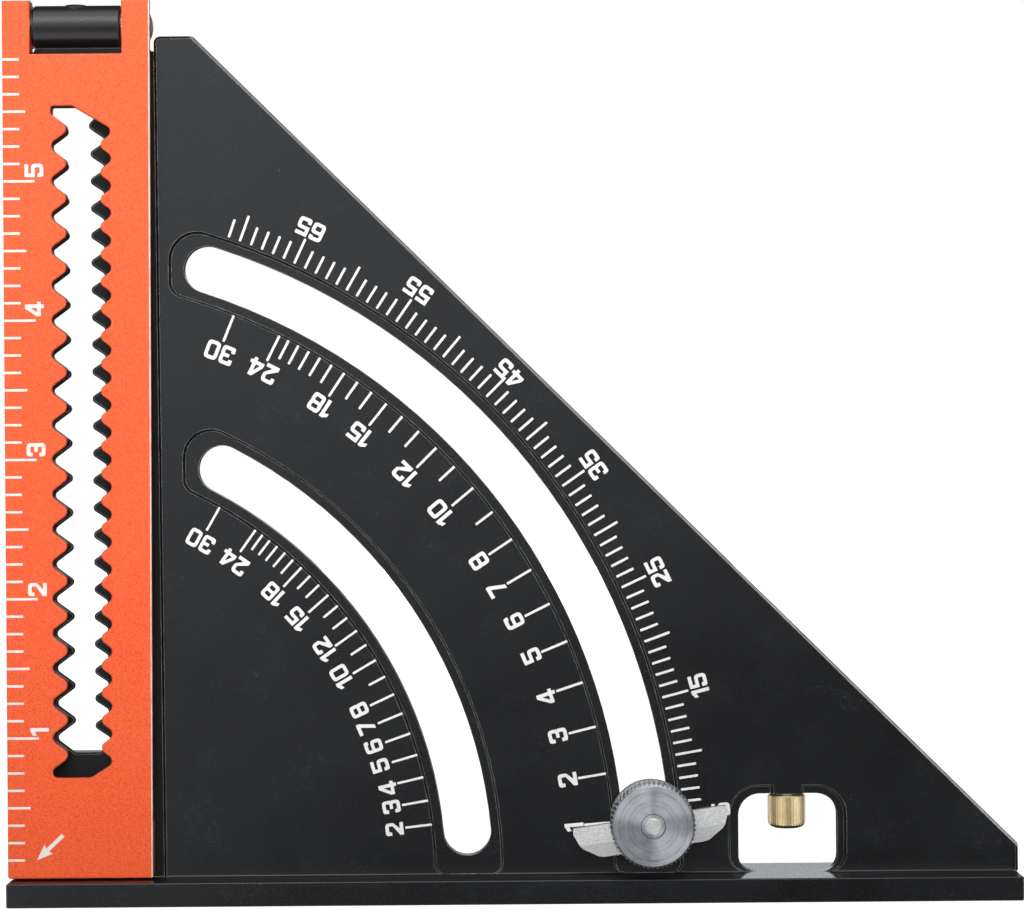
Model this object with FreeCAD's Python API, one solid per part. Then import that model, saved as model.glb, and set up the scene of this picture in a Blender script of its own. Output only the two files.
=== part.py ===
import FreeCAD, Part
import math
import os

# Adjustable set square with a folding arm and a sliding angle clamp.
# All sizes are in millimetres.
#
# Plane of the drawing: u to the right and v up, both from the pivot corner
# (left end of the fence, top face of the fence), n toward the viewer.
# The finished parts are turned upright: X = u - 92.2, Y = -n, Z = v + 5.0,
# so that the square stands on its fence with its scales facing -Y.

# ---------------------------------------------------------------- dimensions
# casting
PLATE_HALF = 2.5            # half thickness of the triangular plate
FENCE_U0, FENCE_U1 = 0.0, 184.2
FENCE_TOP = -0.6            # the scales' centre lies just above the fence
FENCE_BOTTOM = -5.0
PLATE_RIGHT = 184.45
FENCE_HALF = 9.5            # half width of the fence (n direction)
FENCE_EDGE = 0.25           # rounded long edges of the fence
ROOT_FILLET = 0.35          # fillet between plate and fence
TRI_LEFT_FOOT = 27.75       # step between the leg and the triangle, below
TRI_LEFT_TOP = 26.95        # and at its upper end
TRI_TOP = 153.7             # upper end of the triangle
TRI_TOP_RIGHT = 34.1        # where the long slope starts
TRI_RIGHT_V = 4.37          # height of the blunt right corner
EDGE_CHAMFER = 0.5          # chamfer around the plate
LEG_FACE = 1.9              # front face of the recessed leg
LEG_TOP = 151.35            # upper end of the leg

# hinge at the top of the leg, axis along u
HINGE_V = 155.575
HINGE_N = 1.5
BARREL_R = 3.9
BARREL_U0, BARREL_U1 = 5.12, 21.12
PIN_R = 1.5
PIN_BORE_R = 1.53
FRICTION_U = 12.73
FRICTION_R = 2.33
FRICTION_TOP = 159.45

# folding arm
ARM_LEFT_FOOT, ARM_LEFT_TOP = -0.36, -0.28
ARM_RIGHT_FOOT, ARM_RIGHT_TOP = 26.12, 26.7
ARM_BACK, ARM_FRONT = 2.1, 5.5
ARM_V0, ARM_V1 = -0.28, 159.92
FORK_U0, FORK_U1 = 4.77, 21.47
FORK_FLOOR = 150.2
LUG_R = 3.9
PIN_SEAT = 25.85            # the right lug is faced back to here, for the head of the pin
ARM_EDGE = 0.35

# arc slots around the pivot corner: middle radius, half width, end angles
OUT_R, OUT_HALF, OUT_A0, OUT_A1 = 116.73, 4.31, 3.45, 71.83
IN_R, IN_HALF, IN_A0, IN_A1 = 83.7, 4.35, 4.9, 62.38
OUT_POCKET = (110.35, 123.0, 29.4, 5.2, 3.0)   # radii, flat end, corners
IN_POCKET = (77.3, 90.0, 31.75, 5.2, 3.0)
WEB_HALF = 1.25             # the ledges beside the slots are 2.5 mm thick
POCKET_DRAFT = 0.38
POCKET_FOOT_R = 2.2

# saw-tooth edges of the pencil slots: corner points before rounding at v = 0,
# the rounding, and how far the edge leans to the right per mm of v
ARM_LEFT_VALLEY, ARM_LEFT_TIP, ARM_LEFT_R, ARM_LEFT_LEAN = 7.14, 11.42, 1.2, 0.0046
ARM_RIGHT_VALLEY, ARM_RIGHT_TIP, ARM_RIGHT_R, ARM_RIGHT_LEAN = 19.42, 16.07, 1.1, 0.0055
LEG_LEFT_VALLEY, LEG_LEFT_TIP, LEG_LEFT_R, LEG_LEFT_LEAN = 8.087, 12.368, 0.82, -0.0048
LEG_LIP = 0.45              # below this lip the left wall of the leg slot is undercut
LEG_UNDERCUT = 0.34         # mm per mm of depth
LEG_RIGHT_VALLEY, LEG_RIGHT_TIP, LEG_RIGHT_R, LEG_RIGHT_LEAN = 18.38, 14.63, 0.82, -0.0010
INCH_PITCH = 6.35
MM_PITCH = 5.0

# window with the scribe
WIN_U0, WIN_U1, WIN_TOP = 133.25, 151.45, 13.75
WIN_R_TOP, WIN_R_FOOT = 4.0, 3.0
RIM_U0, RIM_U1, RIM_TOP = 131.3, 153.0, 15.45
RIM_R_TOP, RIM_R_FOOT = 5.6, 3.6
BOSS_U = 142.25
BOSS_HALF_FOOT, BOSS_HALF_TOP = 3.05, 2.6
SCRIBE_U = 142.25
SCRIBE_R = 3.47
SCRIBE_V0, SCRIBE_V1 = 7.42, 13.45
SCRIBE_TEETH = 36
SPIGOT_R, SPIGOT_BORE_R = 1.45, 1.5
SPIGOT_TOP, SPIGOT_BORE_TOP = 16.5, 17.0
NEEDLE_R, NEEDLE_BORE_R = 0.75, 1.0
NEEDLE_V0, NEEDLE_TIP, NEEDLE_BORE_TOP = 9.0, 20.4, 21.2

# angle clamp, parked on the first long mark of the common rafter scale
CLAMP_ANGLE = math.degrees(math.atan(1.0 / 12.0)) - 0.135
CLAMP_R = 117.4             # the stud sits off the middle line of the slot
POINTER_TURN = 8.4          # direction of the reading edge, from +u
SHOE_FLANGE_R, SHOE_NECK_R = 5.9, 4.25
STUD_R = 1.5
HUB_R = 7.4
NUT_R, NUT_TOP_R, NUT_TEETH = 7.66, 7.15, 55
NUT_N0, NUT_N1 = 7.45, 13.5

OX, OZ = -92.2, 5.0

os.makedirs("parts", exist_ok=True)
V = FreeCAD.Vector


# ------------------------------------------------------------------- helpers
def rounded_wire(pts, rads, z=0.0):
    """Closed wire through pts, every corner rounded with its own radius."""
    n = len(pts)
    if not isinstance(rads, (list, tuple)):
        rads = [rads] * n
    starts, ends, mids = [], [], []
    for i in range(n):
        p0 = V(pts[i - 1][0], pts[i - 1][1], z)
        p1 = V(pts[i][0], pts[i][1], z)
        p2 = V(pts[(i + 1) % n][0], pts[(i + 1) % n][1], z)
        a = (p0 - p1).normalize()
        b = (p2 - p1).normalize()
        r = rads[i]
        ang = a.getAngle(b)
        if r < 1e-6 or abs(ang - math.pi) < 1e-4:
            starts.append(p1)
            ends.append(p1)
            mids.append(None)
            continue
        t = r / math.tan(ang / 2.0)
        bis = (a + b).normalize()
        centre = p1 + bis * (r / math.sin(ang / 2.0))
        starts.append(p1 + a * t)
        ends.append(p1 + b * t)
        mids.append(centre - bis * r)
    edges = []
    for i in range(n):
        if mids[i] is not None:
            edges.append(Part.Arc(starts[i], mids[i], ends[i]).toShape())
        j = (i + 1) % n
        if ends[i].distanceToPoint(starts[j]) > 1e-6:
            edges.append(Part.LineSegment(ends[i], starts[j]).toShape())
    return Part.Wire(edges)


def prism(wire, z0, z1):
    face = Part.Face(wire)
    face.translate(V(0, 0, z0 - wire.BoundBox.ZMin))
    return face.extrude(V(0, 0, z1 - z0))


def box(u0, u1, v0, v1, n0, n1):
    return Part.makeBox(u1 - u0, v1 - v0, n1 - n0, V(u0, v0, n0))


def rod(r, p, d, length):
    return Part.makeCylinder(r, length, V(*p), V(*d))


def revolve_n(profile, u=0.0, v=0.0):
    """Solid of revolution about a line parallel to n; profile of (r, n)."""
    pts = [V(r, 0, n) for r, n in profile]
    pts.append(pts[0])
    s = Part.Face(Part.makePolygon(pts)).revolve(V(0, 0, 0), V(0, 0, 1), 360)
    s.translate(V(u, v, 0))
    return s


def revolve_v(profile, u=0.0, n=0.0):
    """Solid of revolution about a line parallel to v; profile of (r, v)."""
    pts = [V(r, v, 0) for r, v in profile]
    pts.append(pts[0])
    s = Part.Face(Part.makePolygon(pts)).revolve(V(0, 0, 0), V(0, 1, 0), 360)
    s.translate(V(u, 0, n))
    return s


def polar(r, deg):
    return (r * math.cos(math.radians(deg)), r * math.sin(math.radians(deg)))


def arc_slot(r, half, a0, a1, z0, z1):
    """Round-ended slot along an arc about the pivot corner."""
    am = (a0 + a1) / 2.0

    def q(rr, a):
        x, y = polar(rr, a)
        return V(x, y, z0)

    c0, c1 = q(r, a0), q(r, a1)
    t0 = V(math.sin(math.radians(a0)), -math.cos(math.radians(a0)), 0)
    t1 = V(-math.sin(math.radians(a1)), math.cos(math.radians(a1)), 0)
    edges = [
        Part.Arc(q(r + half, a0), q(r + half, am), q(r + half, a1)).toShape(),
        Part.Arc(q(r + half, a1), c1 + t1 * half, q(r - half, a1)).toShape(),
        Part.Arc(q(r - half, a1), q(r - half, am), q(r - half, a0)).toShape(),
        Part.Arc(q(r - half, a0), c0 + t0 * half, q(r + half, a0)).toShape(),
    ]
    return Part.Face(Part.Wire(edges)).extrude(V(0, 0, z1 - z0))


def pocket_wire(r0, r1, flat, rc_out, rc_in, foot_r, z):
    """Outline of an arc pocket: two arcs, a flat upper end, a foot on the fence."""
    def on(r, c):
        k = r / math.hypot(c[0], c[1])
        return V(c[0] * k, c[1] * k, z)

    def mid(c, rad, p, q):
        m = (p + q) * 0.5 - V(c[0], c[1], z)
        return V(c[0], c[1], z) + m.normalize() * rad

    co = (flat + rc_out, math.sqrt((r1 - rc_out) ** 2 - (flat + rc_out) ** 2))
    ci = (flat + rc_in, math.sqrt((r0 + rc_in) ** 2 - (flat + rc_in) ** 2))
    fv = FENCE_TOP + foot_r
    fo = (math.sqrt((r1 - foot_r) ** 2 - fv ** 2), fv)
    fi = (math.sqrt((r0 + foot_r) ** 2 - fv ** 2), fv)
    a, b = V(fi[0], FENCE_TOP, z), V(fo[0], FENCE_TOP, z)
    c, d = on(r1, fo), on(r1, co)
    e, f = V(flat, co[1], z), V(flat, ci[1], z)
    g, h = on(r0, ci), on(r0, fi)

    def big(r, p, q):
        t = (math.atan2(p.y, p.x) + math.atan2(q.y, q.x)) / 2.0
        return V(r * math.cos(t), r * math.sin(t), z)

    edges = [Part.LineSegment(a, b).toShape(),
             Part.Arc(b, mid(fo, foot_r, b, c), c).toShape(),
             Part.Arc(c, big(r1, c, d), d).toShape(),
             Part.Arc(d, mid(co, rc_out, d, e), e).toShape(),
             Part.LineSegment(e, f).toShape(),
             Part.Arc(f, mid(ci, rc_in, f, g), g).toShape(),
             Part.Arc(g, big(r0, g, h), h).toShape(),
             Part.Arc(h, mid(fi, foot_r, h, a), a).toShape()]
    return Part.Wire(edges)


def arc_pocket(spec, foot_r):
    """Shallow tapered pocket around an arc slot, on the front face."""
    r0, r1, flat, rc_out, rc_in = spec
    over = 0.3 * POCKET_DRAFT / (PLATE_HALF - WEB_HALF)
    low = pocket_wire(r0 + POCKET_DRAFT, r1 - POCKET_DRAFT, flat + POCKET_DRAFT,
                      rc_out - POCKET_DRAFT, rc_in - POCKET_DRAFT, foot_r - POCKET_DRAFT, WEB_HALF)
    top = pocket_wire(r0 - over, r1 + over, flat - over,
                      rc_out + over, rc_in + over, foot_r + over, PLATE_HALF + 0.3)
    return Part.makeLoft([low, top], True, True)


def mirror_n(shape):
    return shape.mirror(V(0, 0, 0), V(0, 0, 1))


def solid_of(shape):
    s = shape.removeSplitter()
    if s.ShapeType != "Solid":
        sol = sorted(s.Solids, key=lambda a: -a.Volume)
        s = sol[0]
    return s


def export(name, shape):
    s = solid_of(shape)
    s.rotate(V(0, 0, 0), V(1, 0, 0), 90)
    s.translate(V(OX, 0, OZ))
    bb = s.BoundBox
    print("%-24s vol %9.2f  valid %s  X %.2f..%.2f  Y %.2f..%.2f  Z %.2f..%.2f" % (
        name, s.Volume, s.isValid(), bb.XMin, bb.XMax, bb.YMin, bb.YMax, bb.ZMin, bb.ZMax))
    s.exportStep("parts/%s.step" % name)


def saw(u_valley, u_tip, first, last, pitch, up=True):
    """Points of a saw-tooth edge from valley to valley."""
    n = int(round((last - first) / pitch))
    pts = []
    for i in range(n + 1):
        pts.append((u_valley, first + i * pitch))
        if i < n:
            pts.append((u_tip, first + (i + 0.5) * pitch))
    if not up:
        pts.reverse()
    return pts


def leaned(pts, lean):
    return [(u + lean * v, v) for u, v in pts]


def edges_at(shape, z, u0, u1, v0, v1):
    out = []
    for e in shape.Edges:
        bb = e.BoundBox
        if abs(bb.ZMin - z) < 1e-4 and abs(bb.ZMax - z) < 1e-4:
            if bb.XMin > u0 and bb.XMax < u1 and bb.YMin > v0 and bb.YMax < v1:
                out.append(e)
    return out


# ------------------------------------------------------------ 1 square_body
lean_tri = (TRI_LEFT_TOP - TRI_LEFT_FOOT) / TRI_TOP
low = FENCE_TOP - 1.0
tri_pts = [(TRI_LEFT_FOOT + lean_tri * low, low), (PLATE_RIGHT, low), (PLATE_RIGHT, TRI_RIGHT_V),
           (TRI_TOP_RIGHT, TRI_TOP), (TRI_LEFT_TOP, TRI_TOP)]
tri = prism(rounded_wire(tri_pts, [0, 0, 1.0, 1.2, 1.2]), -PLATE_HALF, PLATE_HALF)
cham = []
for e in tri.Edges:
    bb = e.BoundBox
    if bb.ZLength > 1e-3 or bb.YMax < low + 0.1:
        continue
    if bb.ZMin < 0 and bb.XMax < TRI_LEFT_FOOT + 0.5:
        continue
    cham.append(e)
tri = tri.makeChamfer(EDGE_CHAMFER, cham)

fence_pts = [(FENCE_BOTTOM, -FENCE_HALF), (FENCE_TOP, -FENCE_HALF), (FENCE_TOP, FENCE_HALF), (FENCE_BOTTOM, FENCE_HALF)]
fence = Part.Face(rounded_wire(fence_pts, FENCE_EDGE)).extrude(V(0, 0, FENCE_U1 - FENCE_U0))
fence.rotate(V(0, 0, 0), V(1, 1, 1), 120)   # (v, n, u) becomes (u, v, n)
fence.translate(V(FENCE_U0, 0, 0))
end_edges = [e for e in fence.Edges if e.BoundBox.XLength < 1e-3]
fence = fence.makeChamfer(0.2, end_edges)

body = tri.fuse(fence)
# fillets between plate and fence, front and back
for s in (1, -1):
    c = V(0, FENCE_TOP + ROOT_FILLET, s * (PLATE_HALF + ROOT_FILLET))
    a = V(0, FENCE_TOP, s * (PLATE_HALF + ROOT_FILLET))
    b = V(0, FENCE_TOP + ROOT_FILLET, s * PLATE_HALF)
    m = c + V(0, -math.sqrt(0.5), -s * math.sqrt(0.5)) * ROOT_FILLET
    corner = V(0, FENCE_TOP - 0.2, s * (PLATE_HALF - 0.2))
    under = V(0, FENCE_TOP - 0.2, s * (PLATE_HALF + ROOT_FILLET))
    inn = V(0, FENCE_TOP + ROOT_FILLET, s * (PLATE_HALF - 0.2))
    w = Part.Wire([Part.Arc(a, m, b).toShape(),
                   Part.LineSegment(b, inn).toShape(),
                   Part.LineSegment(inn, corner).toShape(),
                   Part.LineSegment(corner, under).toShape(),
                   Part.LineSegment(under, a).toShape()])
    root = Part.Face(w).extrude(V(PLATE_RIGHT - TRI_LEFT_FOOT - 1.4, 0, 0))
    root.translate(V(TRI_LEFT_FOOT + 0.7, 0, 0))
    body = body.fuse(root)

leg = box(0.1, TRI_LEFT_FOOT + 0.5, FENCE_TOP - 0.5, LEG_TOP, -PLATE_HALF, LEG_FACE)
leg_edges = [e for e in leg.Edges
             if e.BoundBox.XMax < 0.11 and e.BoundBox.YLength > 100]
leg = leg.makeFillet(0.5, leg_edges)
# lowered beside the knuckle, where the lugs of the folded-out arm come down
leg = leg.cut(box(0, 4.95, LEG_TOP - 0.35, LEG_TOP + 1, -3, 3)).cut(box(21.3, 30, LEG_TOP - 0.35, LEG_TOP + 1, -3, 3))
body = body.fuse(leg)

# hinge knuckle
barrel = rod(BARREL_R, (BARREL_U0, HINGE_V, HINGE_N), (1, 0, 0), BARREL_U1 - BARREL_U0)
barrel_rims = [e for e in barrel.Edges if e.BoundBox.XLength < 1e-3]
barrel = barrel.makeChamfer(0.25, barrel_rims)
web = box(BARREL_U0, BARREL_U1, LEG_TOP - 0.6, HINGE_V, HINGE_N - BARREL_R, LEG_FACE)
body = body.fuse(barrel).fuse(web)

# arc slots with their ledges
out_pocket = arc_pocket(OUT_POCKET, POCKET_FOOT_R)
in_pocket = arc_pocket(IN_POCKET, POCKET_FOOT_R)
for tool in (out_pocket, in_pocket):
    body = body.cut(tool).cut(mirror_n(tool))
body = body.cut(arc_slot(OUT_R, OUT_HALF, OUT_A0, OUT_A1, -4, 4))
body = body.cut(arc_slot(IN_R, IN_HALF, IN_A0, IN_A1, -4, 4))

# window: through opening and ledge, the boss of the scribe bore stays
win = prism(rounded_wire([(WIN_U0, FENCE_TOP), (WIN_U1, FENCE_TOP), (WIN_U1, WIN_TOP), (WIN_U0, WIN_TOP)],
                         [WIN_R_FOOT, WIN_R_FOOT, WIN_R_TOP, WIN_R_TOP]), -4, 4)


def rim_wire(grow, z):
    return rounded_wire([(RIM_U0 - grow, FENCE_TOP), (RIM_U1 + grow, FENCE_TOP),
                         (RIM_U1 + grow, RIM_TOP + grow), (RIM_U0 - grow, RIM_TOP + grow)],
                        [RIM_R_FOOT + grow, RIM_R_FOOT + grow, RIM_R_TOP + grow, RIM_R_TOP + grow], z)


k_rim = POCKET_DRAFT / (PLATE_HALF - WEB_HALF)
rim = Part.makeLoft([rim_wire(-POCKET_DRAFT, WEB_HALF), rim_wire(0.3 * k_rim, PLATE_HALF + 0.3)], True, True)
flare = (BOSS_HALF_FOOT - BOSS_HALF_TOP) / (PLATE_HALF - WEB_HALF)
wide, narrow = BOSS_HALF_FOOT + flare * 0.4, BOSS_HALF_TOP - flare * 0.5
boss_pts = [V(BOSS_U - wide, 0, WEB_HALF - 0.4), V(BOSS_U + wide, 0, WEB_HALF - 0.4),
            V(BOSS_U + narrow, 0, PLATE_HALF + 0.5), V(BOSS_U - narrow, 0, PLATE_HALF + 0.5)]
boss_pts.append(boss_pts[0])
boss = Part.Face(Part.makePolygon(boss_pts)).extrude(V(0, RIM_TOP - WIN_TOP + 5.0, 0))
boss.translate(V(0, WIN_TOP - 3.0, 0))
rim = rim.cut(boss)
body = body.cut(rim).cut(mirror_n(rim)).cut(win)
body = body.cut(rod(SPIGOT_BORE_R, (SCRIBE_U, WIN_TOP - 1.0, 0), (0, 1, 0), SPIGOT_BORE_TOP - WIN_TOP + 1.0))
body = body.cut(rod(NEEDLE_BORE_R, (SCRIBE_U, WIN_TOP - 1.0, 0), (0, 1, 0), NEEDLE_BORE_TOP - WIN_TOP + 1.0))

# pencil slot of the leg
leg_slot_pts = [(11.65, 22.3), (16.2, 22.3)]
leg_slot_rads = [0.5, 0.4]
right = saw(LEG_RIGHT_VALLEY, LEG_RIGHT_TIP, 24.75, 134.75, MM_PITCH)
right += [(LEG_RIGHT_TIP, 137.25)]
leg_slot_pts += leaned(right, LEG_RIGHT_LEAN) + [(17.9, 141.2)]
leg_slot_rads += [LEG_RIGHT_R] * len(right) + [0.4]
leg_slot_pts += [(8.3, 141.2), (8.3, 138.9)]
leg_slot_rads += [0.5, 0.5]
left = saw(LEG_LEFT_VALLEY, LEG_LEFT_TIP, 25.123, 133.073, INCH_PITCH, up=False)
left = [(LEG_LEFT_TIP, 136.248)] + left
leg_slot_pts += leaned(left, LEG_LEFT_LEAN)
leg_slot_rads += [LEG_LEFT_R] * len(left)
leg_slot_wire = rounded_wire(leg_slot_pts, leg_slot_rads)
leg_slot = prism(leg_slot_wire, -4, 4)
body = body.cut(leg_slot)
lip = Part.Face(leg_slot_wire)
lip.translate(V(0, 0, LEG_FACE - LEG_LIP))
body = body.cut(lip.extrude(V(-LEG_UNDERCUT * 5.0, 0, -5.0)))
try:
    body2 = solid_of(body).makeChamfer(0.3, edges_at(solid_of(body), LEG_FACE, 7.0, 19.5, 22.0, 141.5))
    if body2.isValid() and body2.Volume > 1000:
        body = body2
    else:
        print("leg slot chamfer invalid")
except Exception as err:
    print("leg slot chamfer skipped", err)

# pin bore and friction screw bore of the knuckle
body = body.cut(rod(PIN_BORE_R, (BARREL_U0 - 1, HINGE_V, HINGE_N), (1, 0, 0), BARREL_U1 - BARREL_U0 + 2))
body = body.cut(rod(FRICTION_R, (FRICTION_U, HINGE_V, HINGE_N), (0, 1, 0), 8.0))
body = body.cut(box(FENCE_U1, PLATE_RIGHT + 1, low - 1, FENCE_TOP, -3, 3))
export("square_body", body)

# --------------------------------------------------------------- 2 fold_arm
arm = prism(rounded_wire([(ARM_LEFT_FOOT, ARM_V0), (ARM_RIGHT_FOOT, ARM_V0), (ARM_RIGHT_TOP, ARM_V1), (ARM_LEFT_TOP, ARM_V1)],
                         [0.4, 0.4, 0, 0]), ARM_BACK, ARM_FRONT)
arm = arm.cut(box(FORK_U0, FORK_U1, FORK_FLOOR, ARM_V1 + 2, 0, 8))
round_edges = []
for e in arm.Edges:
    bb = e.BoundBox
    flat_front = abs(bb.ZMin - ARM_FRONT) < 1e-4 and abs(bb.ZMax - ARM_FRONT) < 1e-4
    flat_back = abs(bb.ZMin - ARM_BACK) < 1e-4 and abs(bb.ZMax - ARM_BACK) < 1e-4
    if flat_front or (flat_back and bb.YMax < FORK_FLOOR - 1):
        round_edges.append(e)
arm = arm.makeFillet(ARM_EDGE, round_edges)
for u0, u1 in ((ARM_LEFT_TOP, FORK_U0), (FORK_U1, PIN_SEAT)):
    arm = arm.fuse(rod(LUG_R, (u0, HINGE_V, HINGE_N), (1, 0, 0), u1 - u0))
arm = arm.cut(box(PIN_SEAT, 30, 150.9, ARM_V1 + 5, -4, 4.6))

arm_slot_pts = [(8.0, 18.1), (14.95, 18.1)]
arm_slot_rads = [0.9, 1.6]
right = saw(ARM_RIGHT_VALLEY, ARM_RIGHT_TIP, 21.05, 136.05, MM_PITCH)
arm_slot_pts += leaned(right, ARM_RIGHT_LEAN)
arm_slot_rads += [ARM_RIGHT_R] * len(right)
arm_slot_pts += [(12.4, 140.7), (8.45, 140.7), (8.45, 139.25)]
arm_slot_rads += [0.8, 0.6, 0.5]
left = saw(ARM_LEFT_VALLEY, ARM_LEFT_TIP, 25.4, 133.35, INCH_PITCH, up=False)
left = [(ARM_LEFT_TIP, 136.525)] + left + [(ARM_LEFT_TIP, 22.225)]
arm_slot_pts += leaned(left, ARM_LEFT_LEAN) + [(8.0, 19.6)]
arm_slot_rads += [ARM_LEFT_R] * len(left) + [0.6]
arm = arm.cut(prism(rounded_wire(arm_slot_pts, arm_slot_rads), 0, 8))
arm = solid_of(arm)
slot_edges = edges_at(arm, ARM_FRONT, 7.0, 20.8, 17.0, 142.0) + edges_at(arm, ARM_BACK, 7.0, 20.8, 17.0, 142.0)
arm = arm.makeChamfer(0.25, slot_edges)
arm = arm.cut(rod(PIN_R, (-1, HINGE_V, HINGE_N), (1, 0, 0), 30))
export("fold_arm", arm)

# ---------------------------------------------------- hinge small parts
pin = rod(PIN_R, (ARM_LEFT_TOP, HINGE_V, HINGE_N), (1, 0, 0), PIN_SEAT - ARM_LEFT_TOP)
dome_r = 2.25
dome_h = 0.55
sphere_r = (dome_r ** 2 + dome_h ** 2) / (2 * dome_h)
rim_h = 0.45
head = rod(dome_r, (PIN_SEAT + rim_h, HINGE_V, HINGE_N), (1, 0, 0), dome_h).common(
    Part.makeSphere(sphere_r, V(PIN_SEAT + rim_h + dome_h - sphere_r, HINGE_V, HINGE_N)))
pin = pin.fuse(rod(dome_r, (PIN_SEAT, HINGE_V, HINGE_N), (1, 0, 0), rim_h)).fuse(head)
export("hinge_pin", pin)

for name, u0 in (("hinge_washer_left", FORK_U0 + 0.05), ("hinge_washer_right", BARREL_U1 + 0.05)):
    w = rod(3.3, (u0, HINGE_V, HINGE_N), (1, 0, 0), 0.25).cut(
        rod(PIN_BORE_R, (u0 - 1, HINGE_V, HINGE_N), (1, 0, 0), 3))
    export(name, w)

PAD_TOP = HINGE_V + 2.2
pad = rod(FRICTION_R, (FRICTION_U, HINGE_V + 1.2, HINGE_N), (0, 1, 0), PAD_TOP - HINGE_V - 1.2).cut(
    rod(PIN_BORE_R, (0, HINGE_V, HINGE_N), (1, 0, 0), 30))
export("hinge_friction_pad", pad)
screw = rod(FRICTION_R, (FRICTION_U, PAD_TOP, HINGE_N), (0, 1, 0), FRICTION_TOP - PAD_TOP)
screw = screw.makeChamfer(0.3, [e for e in screw.Edges if e.BoundBox.YMin > FRICTION_TOP - 0.01])
hexa = []
for i in range(6):
    a = math.radians(60 * i)
    hexa.append(V(FRICTION_U + 1.15 * math.cos(a), FRICTION_TOP - 1.3, HINGE_N + 1.15 * math.sin(a)))
hexa.append(hexa[0])
screw = screw.cut(Part.Face(Part.makePolygon(hexa)).extrude(V(0, 3, 0)))
export("hinge_friction_screw", screw)

# ----------------------------------------------------------- angle clamp
cu, cv = polar(CLAMP_R, CLAMP_ANGLE)


def at_clamp(shape, turn=0.0):
    s = shape.copy()
    if turn:
        s.rotate(V(0, 0, 0), V(0, 0, 1), turn)
    s.translate(V(cu, cv, 0))
    return s


# shoe behind the plate: flange in the rear pocket, neck in the slot
shoe = revolve_n([(0.0, -2.4), (SHOE_FLANGE_R - 0.3, -2.4), (SHOE_FLANGE_R, -2.1),
                  (SHOE_FLANGE_R, -1.3), (SHOE_NECK_R, -1.3), (SHOE_NECK_R, 0.95),
                  (SHOE_NECK_R - 0.25, 1.2), (0.0, 1.2)])
shoe.translate(V(OUT_R - CLAMP_R, 0, 0))
shoe = shoe.cut(rod(STUD_R, (0, 0, -5), (0, 0, 1), 10))
export("clamp_shoe", at_clamp(shoe, CLAMP_ANGLE))

# stud: domed head behind the shoe, plain shank for the thread
prof = []
for i in range(7):
    a = math.radians(90 - 15 * i)
    prof.append((4.0 * math.cos(a), -2.4 - 1.5 * math.sin(a)))
prof[0] = (0.0, -3.9)
prof += [(STUD_R, -2.4), (STUD_R, 13.45), (STUD_R - 0.3, 13.75), (0.0, 13.75)]
stud = revolve_n(prof)
for s in (1, -1):
    stud = stud.cut(box(-0.28, 0.28, s * 1.05 - 0.3, s * 1.05 + 0.3, 13.45, 14.5))
export("clamp_stud", at_clamp(stud, 25.0))

# pointer: round hub and a wing with a straight reading edge and a ridge
hub = revolve_n([(STUD_R + 0.05, 1.4), (4.8, 1.4), (4.95, 1.55), (4.95, 2.75), (HUB_R - 0.4, 2.75),
                 (HUB_R, 3.25), (HUB_R, 5.9), (HUB_R - 0.5, 6.4), (STUD_R + 0.05, 6.4)])
WL, WR, WE, WB = -14.35, 14.1, 0.48, -5.4
wing_pts = [(WL, WE), (WL - 0.05, WE - 1.1), (WL + 1.0, WE - 3.6), (WL + 4.3, WB),
            (WR - 4.3, WB), (WR - 1.0, WE - 3.6), (WR + 0.05, WE - 1.1), (WR, WE)]
wing_wire = rounded_wire(wing_pts, [0.3, 0.5, 2.6, 3.0, 3.0, 2.6, 0.5, 0.3])
wing = prism(wing_wire, 2.8, 8.0)
RIDGE = WE - 3.1
roof_pts = [V(-20, WE + 0.5, 2.0), V(-20, WE + 0.5, 4.05), V(-20, WE, 4.1), V(-20, RIDGE, 5.3),
            V(-20, WB - 0.2, 4.1), V(-20, WB - 0.2, 2.0)]
roof_pts.append(roof_pts[0])
roof = Part.Face(Part.makePolygon(roof_pts)).extrude(V(40, 0, 0))
wing = wing.common(roof)
wing = wing.cut(rod(STUD_R + 0.05, (0, 0, 0), (0, 0, 1), 12))
pointer = hub.fuse(wing)
export("clamp_pointer", at_clamp(pointer, POINTER_TURN))

# conical spring washer under the nut
sw = revolve_n([(STUD_R + 0.12, 6.95), (4.4, 6.5), (4.4, 6.85), (STUD_R + 0.12, 7.3)])
export("clamp_spring_washer", at_clamp(sw))

# thumb nut
teeth = []
for i in range(NUT_TEETH * 4):
    a = 2 * math.pi * i / (NUT_TEETH * 4)
    r = NUT_R if i % 4 in (0, 1) else NUT_R - 0.32
    teeth.append(V(r * math.cos(a), r * math.sin(a), NUT_N0))
teeth.append(teeth[0])
knurl = Part.Face(Part.makePolygon(teeth)).extrude(V(0, 0, NUT_N1 - NUT_N0))
envelope = revolve_n([(STUD_R + 0.02, NUT_N0), (5.4, NUT_N0), (5.4, NUT_N0 + 0.9), (7.2, NUT_N0 + 0.9),
                      (NUT_R + 0.05, NUT_N0 + 1.4), (NUT_R + 0.05, NUT_N1 - 0.55), (NUT_TOP_R, NUT_N1),
                      (2.3, NUT_N1), (2.05, NUT_N1 - 0.35), (STUD_R + 0.02, NUT_N1 - 0.35)])
nut = knurl.common(envelope)
export("thumb_nut", at_clamp(nut))

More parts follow.
